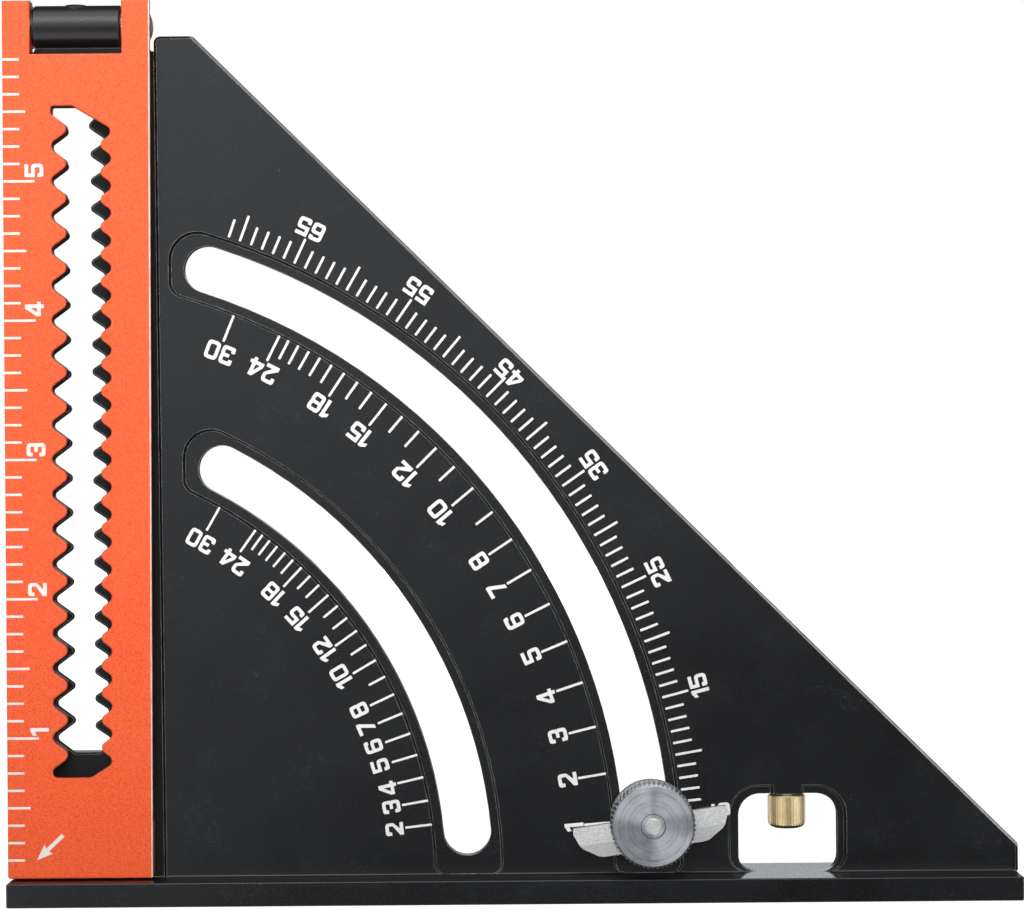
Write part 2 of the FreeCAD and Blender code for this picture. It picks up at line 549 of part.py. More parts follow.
# --------------------------------------------------------------- scribe
star = []
for i in range(SCRIBE_TEETH * 4):
    a = 2 * math.pi * i / (SCRIBE_TEETH * 4)
    r = SCRIBE_R if i % 4 in (0, 1) else SCRIBE_R - 0.2
    star.append(V(SCRIBE_U + r * math.cos(a), SCRIBE_V0, r * math.sin(a)))
star.append(star[0])
knob = Part.Face(Part.makePolygon(star)).extrude(V(0, SCRIBE_V1 - SCRIBE_V0, 0))
env = revolve_v([(0.0, SCRIBE_V0), (SCRIBE_R - 1.1, SCRIBE_V0), (SCRIBE_R - 0.5, SCRIBE_V0 + 0.25),
                 (SCRIBE_R - 0.12, SCRIBE_V0 + 0.65), (SCRIBE_R + 0.05, SCRIBE_V0 + 1.2),
                 (SCRIBE_R + 0.05, SCRIBE_V1 - 0.3), (SCRIBE_R - 0.3, SCRIBE_V1), (0.0, SCRIBE_V1)], SCRIBE_U, 0.0)
knob = knob.common(env)
spigot = revolve_v([(0.0, SCRIBE_V1 - 0.5), (SPIGOT_R, SCRIBE_V1 - 0.5), (SPIGOT_R, 14.75), (0.86, 14.75),
                    (0.86, 15.5), (SPIGOT_R, 15.5), (SPIGOT_R, SPIGOT_TOP - 0.2), (SPIGOT_R - 0.2, SPIGOT_TOP),
                    (0.0, SPIGOT_TOP)], SCRIBE_U, 0.0)
knob = knob.fuse(spigot).cut(rod(NEEDLE_R, (SCRIBE_U, NEEDLE_V0, 0), (0, 1, 0), 20))
export("scribe_knob", knob)
needle = revolve_v([(0.0, NEEDLE_V0), (NEEDLE_R, NEEDLE_V0), (NEEDLE_R, NEEDLE_TIP - 2.6),
                    (0.06, NEEDLE_TIP), (0.0, NEEDLE_TIP)], SCRIBE_U, 0.0)
export("scribe_needle", needle)
ring = Part.makeTorus(1.175, 0.31, V(SCRIBE_U, 15.125, 0), V(0, 1, 0))
export("scribe_o_ring", ring)
print("done")
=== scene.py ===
import bpy
import math
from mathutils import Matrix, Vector
from mathutils.geometry import tessellate_polygon


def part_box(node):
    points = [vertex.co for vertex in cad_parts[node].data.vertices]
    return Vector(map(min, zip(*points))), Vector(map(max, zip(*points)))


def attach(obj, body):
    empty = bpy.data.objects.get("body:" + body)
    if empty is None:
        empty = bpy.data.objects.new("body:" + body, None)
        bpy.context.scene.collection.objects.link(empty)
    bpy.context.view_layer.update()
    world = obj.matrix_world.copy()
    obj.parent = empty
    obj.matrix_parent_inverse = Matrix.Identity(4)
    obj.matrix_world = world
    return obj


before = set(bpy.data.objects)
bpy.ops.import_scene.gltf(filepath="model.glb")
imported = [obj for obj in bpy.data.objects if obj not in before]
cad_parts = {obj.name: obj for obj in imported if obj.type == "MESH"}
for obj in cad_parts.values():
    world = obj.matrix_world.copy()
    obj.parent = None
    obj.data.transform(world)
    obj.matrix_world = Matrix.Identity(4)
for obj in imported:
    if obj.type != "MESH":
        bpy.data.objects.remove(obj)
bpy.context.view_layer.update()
scene = bpy.context.scene

# The drawing plane: u to the right, v up, both from the pivot corner, and n toward the viewer, in millimetres.
OX, OZ = -92.2, 5.0


def at(u, v, n):
    return Vector(((u + OX) / 1000.0, -n / 1000.0, (v + OZ) / 1000.0))


# ------------------------------------------------------------------ node helpers
class Shade:
    """A procedural material around one Principled shader. Texture space is the object's own, in metres."""

    def __init__(self, name):
        self.mat = bpy.data.materials.new(name)
        self.mat.use_nodes = True
        self.tree = self.mat.node_tree
        self.tree.nodes.clear()
        self.out = self.node("ShaderNodeOutputMaterial")
        self.bsdf = self.node("ShaderNodeBsdfPrincipled")
        self.link(self.bsdf.outputs["BSDF"], self.out.inputs["Surface"])
        self.coord = self.node("ShaderNodeTexCoord").outputs["Object"]

    def node(self, kind):
        return self.tree.nodes.new(kind)

    def link(self, a, b):
        self.tree.links.new(a, b)

    def put(self, socket, value):
        if isinstance(value, (int, float)):
            socket.default_value = value
        elif isinstance(value, (tuple, list)):
            if len(socket.default_value) == 4 and len(value) == 3:
                value = (*value, 1.0)
            socket.default_value = value
        else:
            self.link(value, socket)

    def math(self, op, a, b=0.0, clamp=False):
        n = self.node("ShaderNodeMath")
        n.operation = op
        n.use_clamp = clamp
        self.put(n.inputs[0], a)
        self.put(n.inputs[1], b)
        return n.outputs[0]

    def vector(self, op, a, b=(0.0, 0.0, 0.0)):
        n = self.node("ShaderNodeVectorMath")
        n.operation = op
        self.put(n.inputs[0], a)
        self.put(n.inputs[1], b)
        return n.outputs["Value"] if op in ("DOT_PRODUCT", "LENGTH", "DISTANCE") else n.outputs["Vector"]

    def split(self, v):
        n = self.node("ShaderNodeSeparateXYZ")
        self.link(v, n.inputs[0])
        return n.outputs

    def noise(self, scale, detail=2.0, rough=0.5, vec=None, distort=0.0):
        n = self.node("ShaderNodeTexNoise")
        self.link(vec or self.coord, n.inputs["Vector"])
        n.inputs["Scale"].default_value = scale
        n.inputs["Detail"].default_value = detail
        n.inputs["Roughness"].default_value = rough
        n.inputs["Distortion"].default_value = distort
        return n.outputs["Fac"]

    def stretched(self, scale, rotation=(0.0, 0.0, 0.0)):
        n = self.node("ShaderNodeMapping")
        self.link(self.coord, n.inputs["Vector"])
        n.inputs["Rotation"].default_value = rotation
        n.inputs["Scale"].default_value = scale
        return n.outputs["Vector"]

    def voronoi(self, scale, vec=None, feature="F1", rand=1.0):
        n = self.node("ShaderNodeTexVoronoi")
        n.feature = feature
        self.link(vec or self.coord, n.inputs["Vector"])
        n.inputs["Scale"].default_value = scale
        n.inputs["Randomness"].default_value = rand
        return n.outputs

    def ramp(self, fac, stops, ease=False):
        n = self.node("ShaderNodeValToRGB")
        if ease:
            n.color_ramp.interpolation = "EASE"
        self.link(fac, n.inputs["Fac"])
        e = n.color_ramp.elements
        while len(e) < len(stops):
            e.new(0.5)
        for i, (p, c) in enumerate(stops):
            e[i].position = p
            e[i].color = (c, c, c, 1.0) if isinstance(c, (int, float)) else (*c, 1.0)
        return n.outputs["Color"]

    def range(self, v, a, b, c=0.0, d=1.0, smooth=False):
        n = self.node("ShaderNodeMapRange")
        n.clamp = True
        if smooth:
            n.interpolation_type = "SMOOTHSTEP"
        self.put(n.inputs["Value"], v)
        for key, x in (("From Min", a), ("From Max", b), ("To Min", c), ("To Max", d)):
            n.inputs[key].default_value = x
        return n.outputs["Result"]

    def mix(self, fac, a, b, blend="MIX"):
        n = self.node("ShaderNodeMix")
        n.data_type = "RGBA"
        n.blend_type = blend
        self.put(n.inputs["Factor"], fac)
        self.put([s for s in n.inputs if s.name == "A" and s.type == "RGBA"][0], a)
        self.put([s for s in n.inputs if s.name == "B" and s.type == "RGBA"][0], b)
        return [s for s in n.outputs if s.type == "RGBA"][0]

    def bump(self, height, strength, distance, normal=None):
        n = self.node("ShaderNodeBump")
        n.inputs["Strength"].default_value = strength
        n.inputs["Distance"].default_value = distance
        self.link(height, n.inputs["Height"])
        if normal is not None:
            self.link(normal, n.inputs["Normal"])
        return n.outputs["Normal"]

    def edges(self, radius, low=0.02, high=0.16, samples=6):
        """1 along the edges of the shape, 0 on its flat and gently curved faces."""
        b = self.node("ShaderNodeBevel")
        b.samples = samples
        b.inputs["Radius"].default_value = radius
        g = self.node("ShaderNodeNewGeometry")
        same = self.vector("DOT_PRODUCT", b.outputs["Normal"], g.outputs["Normal"])
        return self.range(self.math("SUBTRACT", 1.0, same), low, high, smooth=True)

    def specks(self, scale, size, share):
        """Small round specks: a share of the cells of that scale holds one."""
        v = self.voronoi(scale)
        pick = self.math("LESS_THAN", self.split(v["Color"])[0], share)
        near = self.range(v["Distance"], size * 0.45, size, 1.0, 0.0)
        return self.math("MULTIPLY", pick, near)

    def set(self, **values):
        for key, value in values.items():
            self.put(self.bsdf.inputs[key.replace("_", " ")], value)
        return self.mat


# ------------------------------------------------------------------ materials
PLATE_RIGHT, SLOPE_V = 184.45, 4.37              # foot of the long slope
SLOPE_OUT = (at(PLATE_RIGHT, SLOPE_V, 0) - at(34.1, 153.7, 0)).normalized()
SLOPE_OUT = Vector((-SLOPE_OUT.z, 0.0, SLOPE_OUT.x))   # points away from the plate


def body_coat():
    s = Shade("body_coat_black")
    cloud = s.noise(38.0, 4.0, 0.6)
    grain = s.noise(5200.0, 2.0, 0.6)
    peel = s.noise(1350.0, 2.0, 0.5)
    colour = s.ramp(cloud, [(0.3, (0.0018, 0.0020, 0.0022)), (0.7, (0.0032, 0.0034, 0.0037))])
    colour = s.mix(s.range(grain, 0.45, 0.75, 0.0, 0.30), colour, (0.010, 0.0105, 0.011))
    handled = s.math("MULTIPLY", s.range(s.noise(95.0, 4.0, 0.7), 0.52, 0.75), s.range(s.noise(2600.0, 2.0, 0.7), 0.5, 0.72))
    colour = s.mix(s.math("MULTIPLY", handled, 0.4), colour, (0.05, 0.053, 0.057))
    x, y, z = s.split(s.coord)
    # edges are drawn lighter: partly wear, partly a painted highlight
    edge = s.edges(0.00016, 0.008, 0.065)
    wear_and_highlight = s.math("MULTIPLY", edge, s.range(s.noise(520.0, 3.0, 0.7), 0.34, 0.62, 0.28, 1.0))
    knuckle = s.math("MULTIPLY", s.math("LESS_THAN", x, at(26.0, 0, 0).x), s.math("GREATER_THAN", z, at(0, 149.0, 0).z))
    wear_and_highlight = s.math("MULTIPLY", wear_and_highlight, s.range(knuckle, 0.0, 1.0, 1.0, 0.25))
    colour = s.mix(s.math("MULTIPLY", knuckle, 0.9), colour, (0.0105, 0.0092, 0.0097))
    colour = s.mix(wear_and_highlight, colour, (0.36, 0.37, 0.38))
    # the inner edge of the long slope is polished by use, and its chamfer carries a painted highlight, bright at the
    # foot and dimmer toward the top
    gap = s.math("SUBTRACT", s.vector("DOT_PRODUCT", s.coord, tuple(SLOPE_OUT)), SLOPE_OUT.dot(at(PLATE_RIGHT, SLOPE_V, 0)))
    rim = s.math("MULTIPLY", s.math("GREATER_THAN", gap, -0.00056), s.math("LESS_THAN", gap, -0.00013))
    turned = s.vector("DOT_PRODUCT", s.node("ShaderNodeTexCoord").outputs["Normal"], tuple(SLOPE_OUT))
    rim = s.math("MULTIPLY", rim, s.math("MULTIPLY", s.math("GREATER_THAN", turned, 0.4), s.math("LESS_THAN", y, at(0, 0, 1.0).y)))
    polish_and_highlight = s.math("MULTIPLY", rim, s.range(s.noise(240.0, 3.0, 0.6), 0.3, 0.6, 0.62, 1.0))
    bare_metal_and_highlight = s.ramp(s.range(z, at(0, 5, 0).z, at(0, 150, 0).z), [(0.0, (0.72, 0.73, 0.75)), (0.45, (0.36, 0.37, 0.38)), (1.0, (0.21, 0.215, 0.22))])
    colour = s.mix(polish_and_highlight, colour, bare_metal_and_highlight)
    # the recessed leg is left matt, and its reflection is turned down as painted shade for the recess under the arm
    leg = s.math("MULTIPLY", s.math("LESS_THAN", x, at(27.85, 0, 0).x), s.math("GREATER_THAN", y, at(0, 0, 2.1).y))
    leg = s.math("MULTIPLY", leg, s.math("MULTIPLY", s.math("LESS_THAN", z, at(0, 151.5, 0).z), s.math("GREATER_THAN", z, at(0, -0.3, 0).z)))
    leg = s.math("MULTIPLY", leg, s.math("LESS_THAN", y, at(0, 0, 1.0).y))
    dust = s.math("MAXIMUM", s.specks(210.0, 0.030, 0.10), s.specks(520.0, 0.055, 0.035))
    colour = s.mix(s.math("MULTIPLY", dust, 0.75), colour, (0.30, 0.31, 0.32))
    rough = s.math("ADD", s.range(cloud, 0.3, 0.7, 0.25, 0.31), s.range(grain, 0.3, 0.7, -0.03, 0.05))
    rough = s.math("ADD", rough, s.math("MULTIPLY", handled, 0.08))
    rough = s.math("ADD", rough, s.math("MULTIPLY", leg, 0.3))
    # the sill of the window is rubbed smooth by fingers
    up = s.math("GREATER_THAN", s.split(s.node("ShaderNodeTexCoord").outputs["Normal"])[2], 0.7)
    sill = s.math("MULTIPLY", up, s.math("MULTIPLY", s.math("GREATER_THAN", x, at(132.0, 0, 0).x), s.math("LESS_THAN", x, at(153.0, 0, 0).x)))
    sill = s.math("MULTIPLY", sill, s.math("MULTIPLY", s.math("GREATER_THAN", z, at(0, -1.2, 0).z), s.math("LESS_THAN", z, at(0, 1.0, 0).z)))
    rough = s.math("MULTIPLY", rough, s.range(sill, 0.0, 1.0, 1.0, 0.4))
    n = s.bump(peel, 0.10, 0.00012)
    n = s.bump(grain, 0.16, 0.00006, n)
    level = s.math("ADD", s.range(leg, 0.0, 1.0, 0.5, 0.27), s.math("MULTIPLY", sill, 0.4))
    return s.set(Base_Color=colour, Roughness=rough, Normal=n, IOR=1.5, Specular_IOR_Level=level)


def arm_coat():
    s = Shade("arm_coat_orange")
    cloud = s.noise(30.0, 3.0, 0.55)
    grain = s.noise(3400.0, 2.0, 0.65)
    fine = s.noise(5600.0, 1.0, 0.5)
    colour = s.ramp(cloud, [(0.3, (0.88, 0.094, 0.0170)), (0.7, (0.93, 0.103, 0.0200)) ])
    colour = s.mix(s.range(grain, 0.48, 0.66, 0.0, 0.95), colour, (0.72, 0.050, 0.009))
    colour = s.mix(s.range(fine, 0.50, 0.66, 0.0, 0.75), colour, (1.0, 0.190, 0.058))
    # edges are drawn lighter: partly wear, partly a painted highlight
    edge = s.edges(0.00016, 0.02, 0.14)
    wear_and_highlight = s.math("MULTIPLY", edge, s.range(s.noise(600.0, 3.0, 0.7), 0.36, 0.62, 0.15, 0.9))
    colour = s.mix(wear_and_highlight, colour, (0.96, 0.55, 0.40))
    # the right front edge is pale, partly thin coat and partly a painted highlight; the walls that the leg and the
    # plate shade are darkened, with their reflection turned down, as painted shade
    nx, ny, nz = s.split(s.node("ShaderNodeTexCoord").outputs["Normal"])
    x, y, z = s.split(s.coord)
    right = s.math("GREATER_THAN", x, at(25.6, 0, 0).x)
    worn_edge_and_highlight = s.math("MULTIPLY", s.math("MULTIPLY", right, s.math("GREATER_THAN", nx, 0.22)), s.math("LESS_THAN", nx, 0.985))
    worn_edge_and_highlight = s.math("MULTIPLY", worn_edge_and_highlight, s.math("LESS_THAN", ny, -0.10))
    worn_edge_and_highlight = s.math("MULTIPLY", worn_edge_and_highlight, s.range(s.noise(420.0, 3.0, 0.65), 0.30, 0.55, 0.55, 1.0))
    colour = s.mix(worn_edge_and_highlight, colour, (0.98, 0.80, 0.72))
    inner = s.math("MULTIPLY", s.math("GREATER_THAN", x, at(4.0, 0, 0).x), s.math("LESS_THAN", z, at(0, 150.6, 0).z))
    inner = s.math("MULTIPLY", inner, s.math("GREATER_THAN", z, at(0, 10.0, 0).z))
    wall_shade = s.math("MULTIPLY", inner, s.range(s.math("ABSOLUTE", ny), 0.15, 0.55, 1.0, 0.0))
    colour = s.mix(s.math("MULTIPLY", wall_shade, 0.86), colour, (0.030, 0.010, 0.008))
    dark = s.specks(520.0, 0.045, 0.03)
    colour = s.mix(s.math("MULTIPLY", dark, 0.4), colour, (0.28, 0.045, 0.02))
    dust = s.specks(300.0, 0.028, 0.05)
    colour = s.mix(s.math("MULTIPLY", dust, 0.6), colour, (0.95, 0.62, 0.48))
    rough = s.math("ADD", 0.40, s.range(grain, 0.3, 0.7, -0.05, 0.08))
    n = s.bump(s.noise(1100.0, 2.0, 0.5), 0.08, 0.00015)
    n = s.bump(grain, 0.42, 0.00012, n)
    n = s.bump(fine, 0.25, 0.00006, n)
    level = s.range(wall_shade, 0.0, 1.0, 0.5, 0.12)
    return s.set(Base_Color=colour, Roughness=rough, Normal=n, IOR=1.5, Specular_IOR_Level=level)


def metal(name, colour, dark, rough, grain_scale=2500.0, bump=0.06, streak=None, edge_highlight=None, metallic=1.0):
    """Plain machined or plated metal with fine variation, brighter along its edges where a highlight is painted."""
    s = Shade(name)
    vec = s.stretched(streak) if streak else None
    grain = s.noise(1.0 if streak else grain_scale, 3.0, 0.6, vec=vec)
    cloud = s.noise(210.0, 3.0, 0.6)
    c = s.mix(s.range(cloud, 0.3, 0.7), dark, colour)
    c = s.mix(s.range(grain, 0.45, 0.7, 0.0, 0.35), c, dark)
    # painted highlight along the edges
    if edge_highlight:
        e = s.math("MULTIPLY", s.edges(0.00015), s.range(s.noise(900.0, 2.0, 0.6), 0.35, 0.6, 0.3, 1.0))
        c = s.mix(e, c, edge_highlight)
    r = s.math("ADD", s.range(grain, 0.3, 0.7, rough - 0.05, rough + 0.07), s.range(cloud, 0.3, 0.7, -0.02, 0.03))
    n = s.bump(grain, bump, 0.00008)
    return s.set(Base_Color=c, Roughness=r, Metallic=metallic, Normal=n)


def zinc_cast():
    s = Shade("pointer_zinc_blasted")
    grain = s.noise(3000.0, 3.0, 0.7)
    pits = s.voronoi(3600.0)["Distance"]
    cloud = s.noise(260.0, 3.0, 0.6)
    c = s.ramp(grain, [(0.34, (0.39, 0.395, 0.40)), (0.5, (0.56, 0.57, 0.58)), (0.68, (0.74, 0.75, 0.76))])
    c = s.mix(s.range(cloud, 0.35, 0.7, 0.0, 0.25), c, (0.42, 0.43, 0.445))
    # painted highlight along the edges
    c = s.mix(s.math("MULTIPLY", s.edges(0.0002), 0.6), c, (0.86, 0.87, 0.88))
    # the lower slopes, facing down, are painted lighter: a painted highlight for the light they catch
    low = s.range(s.split(s.node("ShaderNodeTexCoord").outputs["Normal"])[2], -0.45, -0.12, 0.45, 0.0)
    c = s.mix(low, c, (0.93, 0.94, 0.95))
    r = s.range(grain, 0.3, 0.7, 0.50, 0.68)
    n = s.bump(grain, 0.42, 0.00016)
    n = s.bump(pits, 0.22, 0.00010, n)
    return s.set(Base_Color=c, Roughness=r, Metallic=0.14, Normal=n)


def turned_nut(centre):
    """Steel face turned on a lathe: rings round the axis, straight knurl on the side."""
    s = Shade("nut_steel_turned")
    rel = s.vector("SUBTRACT", s.coord, tuple(centre))
    x, y, z = s.split(rel)
    flat = s.node("ShaderNodeCombineXYZ")
    s.link(x, flat.inputs[0])
    s.link(z, flat.inputs[2])
    radius = s.vector("LENGTH", flat.outputs[0])
    wobble = s.math("MULTIPLY", s.noise(700.0, 2.0, 0.5), 0.00006)
    ring = s.node("ShaderNodeCombineXYZ")
    s.link(s.math("ADD", radius, wobble), ring.inputs[0])
    rings = s.noise(9500.0, 3.0, 0.75, vec=ring.outputs[0])
    wide = s.noise(1700.0, 2.0, 0.5, vec=ring.outputs[0])
    g = s.node("ShaderNodeNewGeometry")
    face = s.range(s.math("MULTIPLY", s.split(g.outputs["Normal"])[1], -1.0), 0.9, 0.985)
    cloud = s.noise(330.0, 4.0, 0.65)
    c = s.ramp(cloud, [(0.3, (0.34, 0.345, 0.355)), (0.7, (0.50, 0.505, 0.515))])
    # painted highlight: the base colour is lighter in two opposite fans, and a weaker one between them, standing in for
    # the light that the lathe marks gather
    way = s.vector("NORMALIZE", flat.outputs[0])
    main_fan_highlight = s.range(s.math("ABSOLUTE", s.vector("DOT_PRODUCT", way, (-0.62, 0.0, 0.785))), 0.62, 0.99, 0.0, 1.0, True)
    side_fan_highlight = s.range(s.vector("DOT_PRODUCT", way, (0.57, 0.0, 0.82)), 0.72, 1.0, 0.0, 0.7, True)
    fan_highlights = s.math("MULTIPLY", s.math("MAXIMUM", main_fan_highlight, side_fan_highlight), face)
    c = s.mix(fan_highlights, c, (0.82, 0.83, 0.845))
    c = s.mix(s.math("MULTIPLY", face, s.range(rings, 0.42, 0.60, 0.0, 0.6)), c, (0.25, 0.255, 0.265))
    pit = s.math("MAXIMUM", s.specks(900.0, 0.07, 0.05), s.specks(480.0, 0.06, 0.04))
    c = s.mix(s.math("MULTIPLY", pit, 0.7), c, (0.72, 0.73, 0.74))
    # painted highlight along the edges
    e = s.math("MULTIPLY", s.edges(0.00016), s.range(s.noise(1500.0, 2.0, 0.6), 0.3, 0.6, 0.4, 1.0))
    c = s.mix(e, c, (0.80, 0.81, 0.82))
    r = s.math("ADD", s.range(cloud, 0.3, 0.7, 0.30, 0.40), s.range(wide, 0.35, 0.65, -0.03, 0.05))
    n1 = s.node("ShaderNodeBump")
    s.link(s.math("MULTIPLY", face, 0.34), n1.inputs["Strength"])
    n1.inputs["Distance"].default_value = 0.00005
    s.link(rings, n1.inputs["Height"])
    n = s.bump(s.noise(5200.0, 2.0, 0.6), 0.10, 0.00004, n1.outputs["Normal"])
    t = s.node("ShaderNodeTangent")
    t.direction_type = "RADIAL"
    t.axis = "Y"
    return s.set(Base_Color=c, Roughness=r, Metallic=1.0, Normal=n, Tangent=t.outputs[0], Anisotropic=0.62)


def brass():
    s = Shade("scribe_brass_knurled")
    grain = s.noise(1.0, 3.0, 0.65, vec=s.stretched((3600.0, 3600.0, 700.0)))
    cloud = s.noise(420.0, 3.0, 0.6)
    c = s.ramp(cloud, [(0.3, (0.66, 0.53, 0.28)), (0.7, (0.78, 0.66, 0.40))])
    c = s.mix(s.range(grain, 0.5, 0.72, 0.0, 0.45), c, (0.44, 0.33, 0.15))
    # painted highlight along the edges
    c = s.mix(s.math("MULTIPLY", s.edges(0.00012), 0.7), c, (0.95, 0.80, 0.48))
    r = s.range(grain, 0.3, 0.7, 0.27, 0.45)
    n = s.bump(grain, 0.16, 0.00008)
    return s.set(Base_Color=c, Roughness=r, Metallic=1.0, Normal=n)


def rubber():
    s = Shade("ring_rubber_black")
    grain = s.noise(4000.0, 3.0, 0.6)
    c = s.ramp(grain, [(0.3, (0.012, 0.012, 0.013)), (0.7, (0.026, 0.026, 0.028))])
    n = s.bump(grain, 0.2, 0.00006)
    return s.set(Base_Color=c, Roughness=s.range(grain, 0.3, 0.7, 0.55, 0.72), Normal=n)


def nylon():
    s = Shade("pad_nylon_natural")
    grain = s.noise(1800.0, 3.0, 0.6)
    c = s.ramp(grain, [(0.3, (0.62, 0.60, 0.53)), (0.7, (0.72, 0.70, 0.64))])
    n = s.bump(grain, 0.12, 0.00006)
    return s.set(Base_Color=c, Roughness=s.range(grain, 0.3, 0.7, 0.42, 0.55), Normal=n, Subsurface_Weight=0.15)


def ink(name, light, dark):
    """Screen print: an even film with pinholes and thinner patches."""
    s = Shade(name)
    weave = s.noise(4200.0, 2.0, 0.6)
    thin = s.noise(900.0, 3.0, 0.65)
    c = s.mix(s.range(thin, 0.52, 0.78, 0.0, 0.55), light, dark)
    c = s.mix(s.range(weave, 0.58, 0.78, 0.0, 0.4), c, dark)
    holes = s.math("MAXIMUM", s.specks(2100.0, 0.13, 0.035), s.specks(3600.0, 0.16, 0.03))
    c = s.mix(s.math("MULTIPLY", holes, 0.55), c, (0.20, 0.20, 0.205))
    n = s.bump(weave, 0.12, 0.00004)
    return s.set(Base_Color=c, Roughness=s.range(weave, 0.3, 0.7, 0.42, 0.56), Normal=n)


def node_centre(name):
    lo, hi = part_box(name)
    return (lo + hi) / 2


M = {
    "square_body": body_coat(),
    "fold_arm": arm_coat(),
    "hinge_pin": metal("hinge_pin_steel", (0.80, 0.80, 0.80), (0.60, 0.60, 0.61), 0.30, edge_highlight=(0.90, 0.90, 0.90), metallic=0.35),
    "hinge_washer": metal("hinge_washer_black_oxide", (0.075, 0.076, 0.080), (0.035, 0.035, 0.037), 0.36, edge_highlight=(0.22, 0.22, 0.23)),
    "hinge_friction_screw": metal("friction_screw_black_oxide", (0.050, 0.051, 0.054), (0.022, 0.022, 0.024), 0.40,
                                  edge_highlight=(0.20, 0.20, 0.21)),
    "hinge_friction_pad": nylon(),
    "clamp_shoe": metal("clamp_shoe_zinc", (0.50, 0.51, 0.52), (0.27, 0.28, 0.29), 0.42, bump=0.14, edge_highlight=(0.72, 0.73, 0.74)),
    "clamp_stud": metal("clamp_stud_nickel", (0.80, 0.80, 0.79), (0.60, 0.60, 0.59), 0.28, edge_highlight=(0.95, 0.95, 0.94), metallic=0.45),
    "clamp_pointer": zinc_cast(),
    "clamp_spring_washer": metal("spring_washer_steel", (0.42, 0.43, 0.45), (0.20, 0.21, 0.22), 0.30),
    "thumb_nut": turned_nut(node_centre("thumb_nut")),
    "scribe_knob": brass(),
    "scribe_needle": metal("scribe_needle_steel", (0.64, 0.65, 0.67), (0.42, 0.43, 0.45), 0.22, streak=(5000.0, 5000.0, 500.0)),
    "scribe_o_ring": rubber(),
}
M["hinge_washer_left"] = M["hinge_washer_right"] = M.pop("hinge_washer")
for name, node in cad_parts.items():
    node.data.materials.clear()
    node.data.materials.append(M[name])

white_ink = ink("ink_white", (0.90, 0.90, 0.905), (0.72, 0.72, 0.725))
arm_ink = ink("ink_white_on_orange", (0.86, 0.85, 0.83), (0.84, 0.62, 0.52))


# ------------------------------------------------------------------ printed scales
def rounded(points, steps=4):
    """A closed outline of (x, y, radius) corners as plain points."""
    out = []
    n = len(points)
    for i in range(n):
        p0, p1, p2 = (Vector(points[(i + k) % n][:2]) for k in (-1, 0, 1))
        r = points[i][2]
        a, b = (p0 - p1), (p2 - p1)
        la, lb = a.length, b.length
        a, b = a / la, b / lb
        ang = math.acos(max(-1.0, min(1.0, a.dot(b))))
        if r < 1e-6 or abs(ang - math.pi) < 1e-3:
            out.append(p1)
            continue
        t = min(r / math.tan(ang / 2), 0.49 * la, 0.49 * lb)
        s, e = p1 + a * t, p1 + b * t
        for k in range(steps + 1):
            w = k / steps
            out.append(s * (1 - w) ** 2 + p1 * (2 * w * (1 - w)) + e * w ** 2)
    return out


SLIM = 0.955          # the digits stand this much narrower than drawn
T, W = 0.195, 0.74    # stroke and width of a digit, where its height is 1
GLYPHS = {
    "0": (W, [[(0, 0, .24), (W, 0, .24), (W, 1, .24), (0, 1, .24)],
              [(T, T, .08), (W - T, T, .08), (W - T, 1 - T, .08), (T, 1 - T, .08)]]),
    "1": (.43, [[(.23, 0, .02), (.43, 0, .02), (.43, 1, .02), (.25, 1, .03), (0, .85, .03), (0, .65, .02), (.23, .75, .01)]]),
    "2": (W, [[(0, 0, .02), (W, 0, .02), (W, T, .02), (.36, T, .04), (W, .53, .16), (W, 1, .24), (0, 1, .24), (0, .65, .02),
               (T + .01, .65, .02), (T + .01, 1 - T, .07), (W - T, 1 - T, .07), (W - T, .58, .07), (0, .21, .10)]]),
    "3": (W, [[(0, 0, .22), (W, 0, .22), (W, .47, .12), (W - .05, .50, .02), (W, .53, .12), (W, 1, .22), (0, 1, .22), (0, .68, .02),
               (T + .01, .68, .02), (T + .01, 1 - T, .06), (W - T, 1 - T, .06), (W - T, .59, .05), (.25, .59, .02), (.25, .41, .02),
               (W - T, .41, .05), (W - T, T, .06), (T + .01, T, .06), (T + .01, .32, .02), (0, .32, .02)]]),
    "4": (.80, [[(.45, 0, .02), (.65, 0, .02), (.65, .16, .01), (.80, .16, .02), (.80, .35, .02), (.65, .35, .01), (.65, 1, .03),
                 (.42, 1, .05), (0, .38, .03), (0, .16, .03), (.45, .16, .01)],
                [(.20, .35, .01), (.45, .35, .01), (.45, .72, .01)]]),
    "5": (W, [[(0, 0, .20), (W, 0, .23), (W, .65, .22), (T, .65, .03), (T, 1 - T, .02), (W - .03, 1 - T, .02), (W - .03, 1, .02),
               (0, 1, .02), (0, .46, .02), (W - T, .46, .07), (W - T, T, .07), (T + .01, T, .06), (T + .01, .31, .02), (0, .31, .02)]]),
    "6": (W, [[(0, 0, .24), (W, 0, .24), (W, .63, .20), (T, .63, .03), (T, 1 - T, .07), (W - T, 1 - T, .06), (W - T, .74, .02),
               (W, .74, .02), (W, 1, .23), (0, 1, .24)],
              [(T, T, .06), (W - T, T, .06), (W - T, .45, .06), (T, .45, .06)]]),
    "7": (.70, [[(.13, 0, .02), (.35, 0, .02), (.70, .82, .05), (.70, 1, .02), (0, 1, .02), (0, 1 - T - .01, .02), (.47, 1 - T - .01, .04)]]),
    "8": (W, [[(0, 0, .21), (W, 0, .21), (W, .47, .12), (W - .04, .50, .02), (W, .53, .12), (W, 1, .21), (0, 1, .21), (0, .53, .12),
               (.04, .50, .02), (0, .47, .12)],
              [(T, T, .06), (W - T, T, .06), (W - T, .41, .06), (T, .41, .06)],
              [(T, .59, .06), (W - T, .59, .06), (W - T, 1 - T, .06), (T, 1 - T, .06)]]),
}
w6, loops6 = GLYPHS["6"]
GLYPHS["9"] = (w6, [[(W - x, 1 - y, r) for x, y, r in loop] for loop in loops6])


